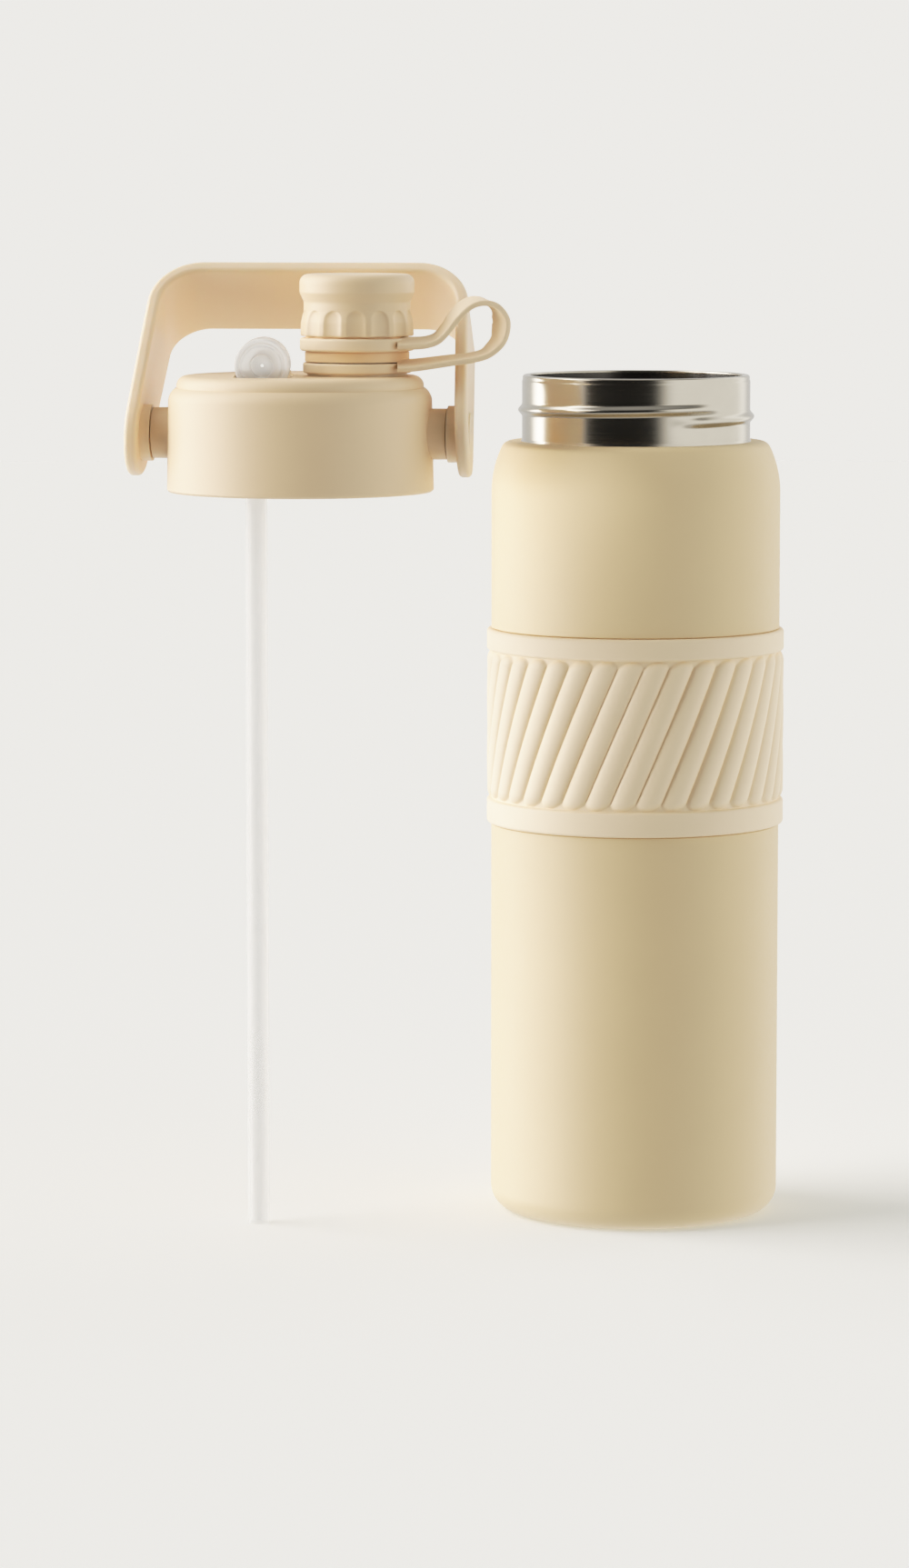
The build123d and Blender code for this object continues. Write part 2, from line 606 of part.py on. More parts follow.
with BuildPart() as straw_nozzle:
    with BuildSketch(NOZZLE_FACING.offset(-NOZZLE_ROOT_Y)):
        Circle(NOZZLE_RADIUS)
    extrude(amount=NOZZLE_ROOT_Y - NOZZLE_TIP_Y)
    tip = straw_nozzle.faces().sort_by(Axis.Y)[0]
    fillet(tip.edges(), NOZZLE_TIP_ROUND)
    with BuildSketch(NOZZLE_FACING.offset(-NOZZLE_ROOT_Y)):
        Circle(STEM_RADIUS)
    extrude(amount=NOZZLE_ROOT_Y - STEM_FRONT_Y, mode=Mode.SUBTRACT)
    with BuildSketch(NOZZLE_FACING.offset(-STEM_FRONT_Y)):
        Circle(NOZZLE_BORE)
    extrude(amount=STEM_FRONT_Y - NOZZLE_TIP_Y, mode=Mode.SUBTRACT)
    with BuildSketch(NOZZLE_FACING.offset(-NOZZLE_TIP_Y)):
        Circle(NOZZLE_GROOVE_RADIUS + NOZZLE_GROOVE_WIDTH / 2)
        Circle(NOZZLE_GROOVE_RADIUS - NOZZLE_GROOVE_WIDTH / 2, mode=Mode.SUBTRACT)
    extrude(amount=-NOZZLE_GROOVE_WIDTH, mode=Mode.SUBTRACT)
save(straw_nozzle, "straw_nozzle")

# ------------------------------------------------------------------ spout cap
cap_ridge = helical_ridge(
    SPOUT_DECK.offset(SPOUT_THREAD_START + CAP_THREAD_PITCH / 2),
    CAP_LINER_BORE,
    CAP_LINER_CREST,
    CAP_THREAD_PITCH,
    CAP_THREAD_TURNS,
    foot=1.3,
    crest=0.6,
)
with BuildPart() as cap_shell:
    with BuildSketch(SPOUT_SIDE):
        with BuildLine():
            crown = Line((0, CAP_TOP), (CAP_HEAD_RADIUS - CAP_BROW_ROUND, CAP_TOP))
            brow = JernArc(crown @ 1, (1, 0), CAP_BROW_ROUND, -90)
            head = Line(brow @ 1, (CAP_HEAD_RADIUS, CAP_TOP - CAP_HEAD_DEPTH))
            waist = Spline(
                head @ 1,
                (CAP_WAIST_RADIUS, CAP_TOP - CAP_WAIST_DEPTH),
                (CAP_SKIRT_RADIUS - CAP_SKIRT_DRAFT, CAP_SKIRT_BOTTOM + CAP_SKIRT_HEIGHT),
                tangents=((0, -1), (0, -1)),
            )
            Polyline(
                waist @ 1,
                (CAP_SKIRT_RADIUS, CAP_SKIRT_BOTTOM + CAP_SKIRT_CHAMFER),
                (CAP_SKIRT_RADIUS - CAP_SKIRT_CHAMFER, CAP_SKIRT_BOTTOM),
                (CAP_LINER_RADIUS, CAP_SKIRT_BOTTOM),
                (CAP_LINER_RADIUS, CAP_CEILING),
                (0, CAP_CEILING),
                crown @ 0,
            )
        make_face()
    revolve(axis=SPOUT_AXIS)
    # Grip flutes round the lower skirt.
    with BuildSketch(SPOUT_DECK.offset(CAP_SKIRT_BOTTOM)):
        with PolarLocations(CAP_SKIRT_RADIUS + CAP_FLUTE_RADIUS - CAP_FLUTE_DEPTH, CAP_FLUTES):
            Circle(CAP_FLUTE_RADIUS)
    extrude(amount=CAP_FLUTE_HEIGHT, mode=Mode.SUBTRACT)
save(cap_shell, "cap_shell")

# The cap liner's flange sits under the tether's upper ring, and its collar is what the ring turns on.
with BuildPart() as cap_liner:
    with BuildSketch(SPOUT_DECK.offset(CAP_FLANGE_BOTTOM)):
        Circle(CAP_FLANGE_RADIUS)
    extrude(amount=CAP_FLANGE_TOP - CAP_FLANGE_BOTTOM)
    with BuildSketch(SPOUT_DECK.offset(CAP_FLANGE_TOP)):
        Circle(CAP_COLLAR_RADIUS)
    extrude(amount=CAP_SKIRT_BOTTOM - CAP_FLANGE_TOP)
    with BuildSketch(SPOUT_DECK.offset(CAP_SKIRT_BOTTOM)):
        Circle(CAP_LINER_RADIUS)
    extrude(amount=CAP_CEILING - CAP_SKIRT_BOTTOM)
    with BuildSketch(SPOUT_DECK.offset(CAP_FLANGE_BOTTOM)):
        Circle(CAP_LINER_BORE)
    extrude(amount=CAP_CEILING - CAP_FLANGE_BOTTOM, mode=Mode.SUBTRACT)
    add(cap_ridge)
save(cap_liner, "cap_liner")

with BuildPart() as cap_gasket:
    with BuildSketch(SPOUT_DECK.offset(CAP_CEILING - CAP_GASKET_THICKNESS)):
        Circle(CAP_LINER_BORE)
    extrude(amount=CAP_GASKET_THICKNESS)
save(cap_gasket, "cap_gasket")

# ------------------------------------------------------------------ tether
with BuildPart() as tether_upper_ring:
    with BuildSketch(SPOUT_DECK.offset(UPPER_RING_BOTTOM)):
        Circle(UPPER_RING_RADIUS)
        Circle(UPPER_RING_BORE, mode=Mode.SUBTRACT)
    extrude(amount=UPPER_RING_TOP - UPPER_RING_BOTTOM)
    outer_edges = tether_upper_ring.edges().filter_by(GeomType.CIRCLE).group_by(SortBy.RADIUS)[-1]
    fillet(outer_edges, UPPER_RING_ROUND)
save(tether_upper_ring, "tether_upper_ring")

with BuildPart() as tether_lower_ring:
    with BuildSketch(SPOUT_DECK.offset(LOWER_RING_BOTTOM)):
        Circle(LOWER_RING_RADIUS)
        Circle(SPOUT_COLLAR_RADIUS, mode=Mode.SUBTRACT)
    extrude(amount=LOWER_RING_TOP - LOWER_RING_BOTTOM)
    outer_edges = tether_lower_ring.edges().filter_by(GeomType.CIRCLE).group_by(SortBy.RADIUS)[-1]
    fillet(outer_edges, LOWER_RING_ROUND)
save(tether_lower_ring, "tether_lower_ring")

root_angle = radians(STRAP_LEAVES_AT)
heading = radians(STRAP_HEADING)
STRAP_UPRIGHT = Plane(
    origin=(
        LID_X + SPOUT_X + UPPER_RING_RADIUS * cos(root_angle),
        LID_Y + UPPER_RING_RADIUS * sin(root_angle),
        DECK_HEIGHT,
    ),
    x_dir=(cos(heading), sin(heading), 0),
    z_dir=(sin(heading), -cos(heading), 0),
)
with BuildPart() as tether_strap:
    with BuildSketch(STRAP_UPRIGHT):
        with BuildLine():
            FilletPolyline(*STRAP_ROUTE, radius=STRAP_BENDS)
            offset(amount=STRAP_THICKNESS / 2, side=Side.BOTH)
        make_face()
    extrude(amount=STRAP_WIDTH / 2, both=True)
    # The strap's ends hug the two rings.
    with BuildSketch(SPOUT_DECK):
        Circle(LOWER_RING_RADIUS)
    extrude(amount=UPPER_RING_BOTTOM - STRAP_GAP, mode=Mode.SUBTRACT)
    with BuildSketch(SPOUT_DECK.offset(UPPER_RING_BOTTOM - STRAP_GAP)):
        Circle(UPPER_RING_RADIUS + STRAP_GAP)
    extrude(amount=CAP_TOP, mode=Mode.SUBTRACT)
save(tether_strap, "tether_strap")

# ------------------------------------------------------------------ handle
# A flat band bent into a U. It is drawn facing along its lean and turns about the pivots.
with BuildPart() as carry_handle:
    with BuildSketch(HANDLE_FACING):
        with BuildLine():
            FilletPolyline(
                (-HANDLE_HALF_WIDTH_PIVOT, -HANDLE_BAND / 2),
                (-HANDLE_HALF_WIDTH_TOP, HANDLE_REACH),
                (HANDLE_HALF_WIDTH_TOP, HANDLE_REACH),
                (HANDLE_HALF_WIDTH_PIVOT, -HANDLE_BAND / 2),
                radius=HANDLE_CORNER,
            )
            offset(amount=HANDLE_THICKNESS, side=Side.RIGHT)
        make_face()
    extrude(amount=HANDLE_BAR_LOWER_EDGE, both=True)
    # The ends of the arms are full round, seen from the side.
    with BuildSketch(HANDLE_ACROSS) as side_view:
        Circle(HANDLE_BAND / 2)
        Polygon(
            (-HANDLE_BAND / 2, 0),
            (HANDLE_BAND / 2, 0),
            (HANDLE_BAR_LOWER_EDGE, HANDLE_REACH),
            (-HANDLE_BAND / 2, HANDLE_REACH),
            align=None,
        )
    extrude(amount=HANDLE_HALF_WIDTH_PIVOT + HANDLE_THICKNESS, both=True, mode=Mode.INTERSECT)
    fillet(carry_handle.edges(), HANDLE_EDGE_ROUND)
    # A raised hub on the inside of each arm meets the lid's boss.
    for side in SIDES:
        with BuildSketch(HANDLE_ACROSS.offset(side * HUB_INNER)):
            Circle(HUB_RADIUS)
        extrude(amount=side * (HUB_OUTER - HUB_INNER))
        with BuildSketch(HANDLE_ACROSS.offset(side * HUB_INNER)):
            Circle(BUSH_RADIUS)
        extrude(amount=side * (BUSH_END - HUB_INNER), mode=Mode.SUBTRACT)
        with BuildSketch(HANDLE_ACROSS.offset(side * BUSH_END)):
            Circle(PIVOT_COVER_RADIUS)
        extrude(amount=side * (HANDLE_HALF_WIDTH_PIVOT - BUSH_END), mode=Mode.SUBTRACT)
save(carry_handle, "carry_handle")

# A headed pin through each arm is pressed into the lid's boss.
with BuildPart() as pivot_pins:
    for side in SIDES:
        with BuildSketch(PIVOT_ACROSS.offset(side * PIN_TIP)):
            Circle(PIN_RADIUS)
        extrude(amount=side * (PIN_HEAD_INNER + PIN_HEAD_THICKNESS - PIN_TIP))
        with BuildSketch(PIVOT_ACROSS.offset(side * PIN_HEAD_INNER)):
            Circle(PIN_HEAD_RADIUS)
        extrude(amount=side * PIN_HEAD_THICKNESS)
save(pivot_pins, "pivot_pins")

with BuildPart() as pivot_bushes:
    for side in SIDES:
        with BuildSketch(HANDLE_ACROSS.offset(side * HUB_INNER)):
            Circle(BUSH_RADIUS)
            Circle(PIN_RADIUS + RUNNING_FIT, mode=Mode.SUBTRACT)
        extrude(amount=side * (BUSH_END - HUB_INNER))
save(pivot_bushes, "pivot_bushes")

with BuildPart() as pivot_covers:
    for side in SIDES:
        with BuildSketch(HANDLE_ACROSS.offset(side * (PIVOT_COVER_OUTER - PIVOT_COVER_THICKNESS))):
            Circle(PIVOT_COVER_RADIUS)
        extrude(amount=side * PIVOT_COVER_THICKNESS)
save(pivot_covers, "pivot_covers")
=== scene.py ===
import json
from math import asin, cos, degrees, pi, radians, sin, tan

import bmesh
import bpy
import numpy as np
from mathutils import Matrix, Vector


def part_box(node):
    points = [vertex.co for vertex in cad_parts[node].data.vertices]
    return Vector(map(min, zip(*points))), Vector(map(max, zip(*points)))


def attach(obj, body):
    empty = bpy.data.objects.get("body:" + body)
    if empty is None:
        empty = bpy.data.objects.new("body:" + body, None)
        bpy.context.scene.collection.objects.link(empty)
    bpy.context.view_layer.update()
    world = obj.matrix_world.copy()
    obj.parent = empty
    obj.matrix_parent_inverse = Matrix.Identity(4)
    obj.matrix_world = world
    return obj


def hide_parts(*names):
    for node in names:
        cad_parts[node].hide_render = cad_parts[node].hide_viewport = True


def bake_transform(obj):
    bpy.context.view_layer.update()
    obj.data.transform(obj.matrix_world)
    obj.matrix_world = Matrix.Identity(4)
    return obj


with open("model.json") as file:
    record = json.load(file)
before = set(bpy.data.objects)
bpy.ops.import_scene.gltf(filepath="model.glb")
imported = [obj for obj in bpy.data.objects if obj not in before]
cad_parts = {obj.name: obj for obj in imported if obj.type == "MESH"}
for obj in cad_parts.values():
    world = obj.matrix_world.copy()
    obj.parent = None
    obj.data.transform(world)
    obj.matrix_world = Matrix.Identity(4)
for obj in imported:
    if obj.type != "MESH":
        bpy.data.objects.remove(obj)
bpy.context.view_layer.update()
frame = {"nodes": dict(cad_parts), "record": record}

MM = 0.001
nodes = frame["nodes"]
scene = bpy.context.scene

# ---------------------------------------------------------------- camera and tone
PHOTO_HEIGHT_PIXELS = 1725
FOCAL_PIXELS = 6330
CAMERA_PITCH = 6.4
CAMERA_PLACE = (-0.0465, -1.475, 0.276)
SENSOR_HEIGHT = 36.0

camera_data = bpy.data.cameras.new("camera")
camera_data.sensor_fit = "VERTICAL"
camera_data.sensor_height = SENSOR_HEIGHT
camera_data.lens = FOCAL_PIXELS / PHOTO_HEIGHT_PIXELS * SENSOR_HEIGHT
camera = bpy.data.objects.new("camera", camera_data)
camera.location = CAMERA_PLACE
camera.rotation_euler = (radians(90 - CAMERA_PITCH), 0, 0)
scene.collection.objects.link(camera)
scene.camera = camera

# A photographic shoulder: straight up to about half, then an easy roll-off to white.
TONE_WHITE = 3.0
TONE_POINTS = (  # light, and how bright it is shown
    (0.15, 0.15), (0.30, 0.298), (0.45, 0.435), (0.60, 0.535), (0.75, 0.618), (1.0, 0.725),
    (1.35, 0.835), (1.7, 0.907), (2.2, 0.96),
)
ALL_CHANNELS = 3
view = scene.view_settings
view.view_transform = "Standard"
view.use_curve_mapping = True
tone = view.curve_mapping
tone.white_level = (TONE_WHITE,) * 3
curve = tone.curves[ALL_CHANNELS]
for light, shown in TONE_POINTS:
    curve.points.new(light / TONE_WHITE, shown)
tone.update()


# ---------------------------------------------------------------- node helpers
def put(tree, socket, value):
    """Links a socket to an output, or sets its value."""
    if isinstance(value, bpy.types.NodeSocket):
        tree.links.new(value, socket)
    else:
        socket.default_value = value


def add(tree, kind, inputs=None, **settings):
    """A new node with its settings and inputs."""
    node = tree.nodes.new(kind)
    for key, value in settings.items():
        setattr(node, key, value)
    for key, value in (inputs or {}).items():
        put(tree, node.inputs[key], value)
    return node


def calc(tree, operation, *values):
    """The result of a maths node."""
    inputs = {i: v for i, v in enumerate(values)}
    return add(tree, "ShaderNodeMath", inputs, operation=operation).outputs[0]


def remap(tree, value, low, high, to_low=0.0, to_high=1.0):
    """value from low..high to to_low..to_high, with soft ends."""
    ends = {"Value": value, "From Min": low, "From Max": high, "To Min": to_low, "To Max": to_high}
    return add(tree, "ShaderNodeMapRange", ends, interpolation_type="SMOOTHSTEP").outputs[0]


def vector_calc(tree, operation, inputs):
    """The result of a vector maths node."""
    return add(tree, "ShaderNodeVectorMath", inputs, operation=operation).outputs[0]


# ---------------------------------------------------------------- studio
# The light is a surround that depends only on direction: a strong tall softbox on the left, a broad
# white card on the right, a soft top, a white back, a dim glow from below and a nearly dark front.
world = bpy.data.worlds.new("studio")
scene.world = world
world.use_nodes = True
tree = world.node_tree
tree.nodes.clear()
direction = add(tree, "ShaderNodeTexCoord").outputs["Generated"]
split = add(tree, "ShaderNodeSeparateXYZ", {0: direction})
across, away, up = (split.outputs[i] for i in range(3))
# Bearing 0 is towards the camera, and grows to the right.
bearing = calc(tree, "ARCTAN2", across, calc(tree, "MULTIPLY", away, -1.0))
height = calc(tree, "ARCSINE", up)


def lobe(middle, half, soft, low, high, edge, strength, colour):
    """A soft-edged patch of light, with its bearing and elevation in degrees."""
    off = calc(tree, "ABSOLUTE", calc(tree, "SUBTRACT", bearing, radians(middle)))
    sideways = remap(tree, off, radians(half + soft), radians(half - soft))
    above = remap(tree, height, radians(low - edge), radians(low + edge))
    below = remap(tree, height, radians(high + edge), radians(high - edge))
    power = calc(tree, "MULTIPLY", calc(tree, "MULTIPLY", above, below), sideways)
    power = calc(tree, "MULTIPLY", power, strength)
    return vector_calc(tree, "SCALE", {0: colour, "Scale": power})


LOBES = (
    # middle, half, soft, low, high, edge, strength, colour. The back is there twice, because the
    # bearing jumps from 180 to -180 degrees in the middle of it.
    (-94, 32, 10, -20, 54, 10, 7.12, (1.0, 0.945, 0.905)),
    (84, 57, 12, -30, 50, 12, 1.55, (1.0, 0.965, 0.915)),
    (0, 185, 1, 62, 95, 14, 0.5, (1.0, 0.98, 0.96)),
    (180, 50, 10, -95, 62, 12, 0.9, (1.0, 0.98, 0.96)),
    (-180, 50, 10, -95, 62, 12, 0.9, (1.0, 0.98, 0.96)),
    (0, 185, 1, -95, -35, 12, 0.85, (1.0, 0.97, 0.93)),
    (0, 185, 1, -35, 62, 10, 0.015, (1.0, 0.98, 0.95)),
)
total = (0.0, 0.0, 0.0)
for entry in LOBES:
    total = vector_calc(tree, "ADD", {0: total, 1: lobe(*entry)})
background = add(tree, "ShaderNodeBackground", {"Color": total, "Strength": 1.0})
tree.links.new(background.outputs[0], add(tree, "ShaderNodeOutputWorld").inputs["Surface"])

# A small soft lamp from low on the left opens the shade that the lid throws on the bottle's shoulder.
# It lights only the outer shell, which is set where that is made, and shows in no reflection.
KICKER_PLACE = Vector((-0.270, -0.092, 0.035))
KICKER_TARGET = Vector((-0.033, -0.022, 0.208))
KICKER_WATTS = 12.5
KICKER_COLOUR = (1.0, 0.95, 0.905)
KICKER_CONE = 15
KICKER_SIZE = 0.04

kicker_data = bpy.data.lights.new("kicker", "SPOT")
kicker_data.energy = KICKER_WATTS
kicker_data.color = KICKER_COLOUR
kicker_data.spot_size = radians(KICKER_CONE)
kicker_data.spot_blend = 1.0
kicker_data.shadow_soft_size = KICKER_SIZE
kicker = bpy.data.objects.new("kicker", kicker_data)
kicker.location = KICKER_PLACE
kicker.rotation_euler = (KICKER_TARGET - KICKER_PLACE).to_track_quat("-Z", "Y").to_euler()
kicker.visible_glossy = False
scene.collection.objects.link(kicker)

FLOOR_RADIUS = 3.5
WALL_HEIGHT = 6.0
FLOOR_WHITE = 0.88
# The floor's own glow adds what the light on it lacks, so that it looks the same as the backdrop.
FLOOR_GLOW = (0.110, 0.143, 0.134)
BACKDROP_GLOW = (1.37, 1.33, 1.24)
PAPER_TINT = (1.0, 0.985, 0.95)
STAGE_SIDES = 96
STAGE_EYE = 0.001


def stage_material(name, glow, white):
    """Pale paper that glows by itself as well."""
    made = bpy.data.materials.new(name)
    made.use_nodes = True
    tree = made.node_tree
    tree.nodes.clear()
    colour = tuple(white * tint for tint in PAPER_TINT) + (1.0,)
    paper = add(tree, "ShaderNodeBsdfDiffuse", {"Color": colour})
    glowing = add(tree, "ShaderNodeEmission", {"Color": (*glow, 1.0), "Strength": 1.0})
    both = add(tree, "ShaderNodeAddShader", {0: paper.outputs[0], 1: glowing.outputs[0]})
    tree.links.new(both.outputs[0], add(tree, "ShaderNodeOutputMaterial").inputs["Surface"])
    return made


def stage_piece(name, rings, material):
    """A round stage surface through rings of (radius, height), in metres. A first ring as small as the
    eye is closed at its middle."""
    points, faces = [], []
    for radius, level in rings:
        for i in range(STAGE_SIDES):
            turn = 2 * pi * i / STAGE_SIDES
            points.append((radius * cos(turn), radius * sin(turn), level))
    for row in range(len(rings) - 1):
        for i in range(STAGE_SIDES):
            a, b = row * STAGE_SIDES + i, row * STAGE_SIDES + (i + 1) % STAGE_SIDES
            faces.append((a, b, b + STAGE_SIDES, a + STAGE_SIDES))
    if rings[0][0] <= STAGE_EYE:
        points.append((0, 0, rings[0][1]))
        faces += [(len(points) - 1, (i + 1) % STAGE_SIDES, i) for i in range(STAGE_SIDES)]
    mesh = bpy.data.meshes.new(name)
    mesh.from_pydata(points, [], faces)
    mesh.polygons.foreach_set("use_smooth", [True] * len(mesh.polygons))
    mesh.materials.append(material)
    made = bpy.data.objects.new(name, mesh)
    scene.collection.objects.link(made)
    made.visible_diffuse = False
    made.visible_glossy = False
    made.visible_shadow = False
    return made


stage_piece("floor", [(STAGE_EYE, 0), (0.5, 0), (1.5, 0), (FLOOR_RADIUS, 0)],
            stage_material("floor_paper", FLOOR_GLOW, FLOOR_WHITE))
stage_piece("backdrop", [(FLOOR_RADIUS, 0), (FLOOR_RADIUS, WALL_HEIGHT / 2), (FLOOR_RADIUS, WALL_HEIGHT)],
            stage_material("backdrop_paper", BACKDROP_GLOW, 0.0))


# ---------------------------------------------------------------- finishes
FINISHES = {}
IOR_LEVEL = "Specular IOR Level"
NOISE_ROUGHNESS = 0.55
NOISE_LOW, NOISE_HIGH = 0.3, 0.7
# The colour mix node has one set of sockets for each kind of value. These are the colour's.
MIX_FACTOR, MIX_FIRST, MIX_SECOND, MIX_RESULT = 0, 6, 7, 2


def finish(name, colour, rough, grain, mottle, rough_spread=0.05, stretch=(1, 1, 1), turned=False,
           sockets=None):
    """A finish with grain, kept in FINISHES. grain is (size, height) pairs in millimetres, from coarse
    to fine. mottle is the size and strength of the colour's variation. stretch draws the grain out,
    and turned lays the highlights round the axis. sockets are the shader's own uniform values."""
    made = bpy.data.materials.new(name)
    made.use_nodes = True
    tree = made.node_tree
    shader = tree.nodes["Principled BSDF"]
    place = add(tree, "ShaderNodeTexCoord").outputs["Object"]
    stretched = add(tree, "ShaderNodeMapping", {"Vector": place, "Scale": stretch}).outputs[0]

    def noise(size, detail, at):
        inputs = {"Vector": at, "Scale": 1 / (size * MM), "Detail": detail, "Roughness": NOISE_ROUGHNESS}
        return add(tree, "ShaderNodeTexNoise", inputs).outputs[0]

    size, strength = mottle
    cloud = noise(size, 3.0, place)
    mixed = add(tree, "ShaderNodeMix", data_type="RGBA")
    put(tree, mixed.inputs[MIX_FACTOR], remap(tree, cloud, NOISE_LOW, NOISE_HIGH))
    put(tree, mixed.inputs[MIX_FIRST], tuple(c * (1 - strength) for c in colour) + (1.0,))
    put(tree, mixed.inputs[MIX_SECOND], tuple(min(1.0, c * (1 + strength)) for c in colour) + (1.0,))
    put(tree, shader.inputs["Base Color"], mixed.outputs[MIX_RESULT])
    speckle = noise(grain[-1][0] * 3, 2.0, stretched)
    put(tree, shader.inputs["Roughness"],
        remap(tree, speckle, NOISE_LOW, NOISE_HIGH, rough - rough_spread, rough + rough_spread))
    bump = None
    for size, depth in grain:
        inputs = {"Height": noise(size, 2.0, stretched), "Distance": depth * MM, "Strength": 1.0}
        if bump is not None:
            inputs["Normal"] = bump
        bump = add(tree, "ShaderNodeBump", inputs).outputs[0]
    put(tree, shader.inputs["Normal"], bump)
    if turned:
        around = add(tree, "ShaderNodeTangent", direction_type="RADIAL", axis="Z")
        put(tree, shader.inputs["Tangent"], around.outputs[0])
    for key, value in (sockets or {}).items():
        shader.inputs[key].default_value = value
    FINISHES[name] = made


# Name, colour, roughness, grain, mottle, spread of the roughness.
PLASTIC_GRAIN = [(0.9, 0.006), (0.35, 0.004)]
SOFT_SHEEN = {"Sheen Weight": 0.08, "Sheen Roughness": 0.5}
TURNED_METAL = {"Metallic": 1.0, "Anisotropic": 0.3, "Anisotropic Rotation": 0.25}
finish("body_coat", (0.78, 0.605, 0.357), 0.48, [(1.3, 0.010), (0.45, 0.006)], (35.0, 0.015),
       sockets={IOR_LEVEL: 0.35})
finish("sleeve_silicone", (0.93, 0.75, 0.51), 0.52, [(0.8, 0.006)], (25.0, 0.012),
       sockets={IOR_LEVEL: 0.5, **SOFT_SHEEN})
finish("lid_plastic", (0.80, 0.605, 0.386), 0.42, PLASTIC_GRAIN, (22.0, 0.012), 0.04,
       sockets={IOR_LEVEL: 0.45})
# A lighter copy of the lid's plastic. The extra brightness is painted bounce light, and the subsurface
# lets real light through.
finish("handle_plastic_painted_bounce", (0.885, 0.695, 0.475), 0.42, PLASTIC_GRAIN, (22.0, 0.012), 0.04,
       sockets={IOR_LEVEL: 0.45, "Subsurface Weight": 0.3, "Subsurface Radius": (1.0, 0.75, 0.5),
                "Subsurface Scale": 0.003})
finish("seal_plastic", (0.86, 0.57, 0.31), 0.46, [(0.7, 0.004)], (12.0, 0.01))
finish("liner_plastic", (0.80, 0.66, 0.46), 0.40, [(0.7, 0.004)], (20.0, 0.01))
finish("tether_silicone", (0.865, 0.675, 0.45), 0.55, [(0.8, 0.006)], (15.0, 0.012),
       sockets={IOR_LEVEL: 0.4, **SOFT_SHEEN})
finish("bare_steel", (0.49, 0.46, 0.39), 0.21, [(9.0, 0.0016), (3.0, 0.0008)], (12.0, 0.03), 0.03,
       stretch=(0.05, 0.05, 40.0), turned=True, sockets=TURNED_METAL)
# The flask's steel is darkened far below real steel. This is painted shade for the dark inside of the
# mouth.
finish("flask_steel", (0.15, 0.145, 0.135), 0.22, [(9.0, 0.0015)], (14.0, 0.04), 0.04,
       stretch=(0.05, 0.05, 25.0), turned=True, sockets=TURNED_METAL)
finish("pin_steel", (0.6, 0.59, 0.57), 0.28, [(1.0, 0.004)], (6.0, 0.02), sockets={"Metallic": 1.0})
finish("getter_metal", (0.42, 0.41, 0.40), 0.6, [(0.6, 0.02)], (4.0, 0.05), 0.08,
       sockets={"Metallic": 1.0})
finish("seal_plug", (0.62, 0.48, 0.30), 0.65, [(0.6, 0.01)], (5.0, 0.03), 0.06)
finish("clear_silicone", (0.97, 0.97, 0.96), 0.38, [(1.2, 0.002)], (9.0, 0.01),
       sockets={"Transmission Weight": 0.6, "IOR": 1.41, "Alpha": 0.7})
finish("clear_plastic", (0.93, 0.93, 0.92), 0.18, [(1.5, 0.003)], (9.0, 0.01), 0.04,
       sockets={"Transmission Weight": 0.85, "IOR": 1.49})
finish("straw_plastic", (0.95, 0.95, 0.935), 0.35, [(2.0, 0.003)], (30.0, 0.01),
       sockets={"Alpha": 0.22, "IOR": 1.49})

# Each CAD node takes the finish of its slot in the record, apart from these. The handle and its covers
# are the lid's plastic, thin enough for a little light to pass through, in a lighter copy whose extra
# brightness is painted bounce light. The cap's liner takes the darker, warmer seal plastic, which is
# painted shade for the recessed band that shows between the two rings.
PAINTED_LIGHT_FINISH = {
    "carry_handle": "handle_plastic_painted_bounce", "pivot_covers": "handle_plastic_painted_bounce", "cap_liner": "seal_plastic",
}
slot_of = {part["node"]: part["material_slot"] for part in frame["record"]["subparts"]}
for node_name, node in nodes.items():
    for material_slot in node.material_slots:
        material_slot.material = FINISHES[PAINTED_LIGHT_FINISH.get(node_name, slot_of[node_name])]


# ---------------------------------------------------------------- mesh helpers
SHARP_ANGLE = 38
MERGE_METRES = 1e-6


def arc(centre, radius, start, end, steps):
    """Points on an arc in the (radius, height) plane, with its angles in degrees."""
    turns = np.radians(np.linspace(start, end, steps + 1))
    return [(centre[0] + radius * cos(t), centre[1] + radius * sin(t)) for t in turns]


def soften(corners, closed=True, steps=6):
    """A path through corners of (radius, height, rounding), each rounded by its own radius."""
    path = []
    count = len(corners)
    for i, (x, y, rounding) in enumerate(corners):
        here = Vector((x, y))
        if rounding <= 0 or (not closed and i in (0, count - 1)):
            path.append((x, y))
            continue
        back = Vector(corners[i - 1][:2]) - here
        on = Vector(corners[(i + 1) % count][:2]) - here
        room = 0.49 * min(back.length, on.length)
        back.normalize()
        on.normalize()
        half = back.angle(on) / 2
        reach = min(rounding / tan(half), room)
        radius = reach * tan(half)
        middle = here + (back + on).normalized() * (radius / sin(half))
        first = here + back * reach - middle
        last = here + on * reach - middle
        swing = first.angle_signed(last)
        for k in range(steps + 1):
            spoke = Matrix.Rotation(-swing * k / steps, 2) @ first
            path.append(tuple(middle + spoke))
    return path


def dense(path, reach):
    """The path with extra points, so that no step is longer than reach."""
    out = [path[0]]
    for a, b in zip(path, path[1:]):
        length = ((b[0] - a[0]) ** 2 + (b[1] - a[1]) ** 2) ** 0.5
        extra = int(length // reach)
        for k in range(1, extra + 1):
            out.append(tuple(a[i] + (b[i] - a[i]) * k / (extra + 1) for i in range(2)))
        out.append(b)
    return out


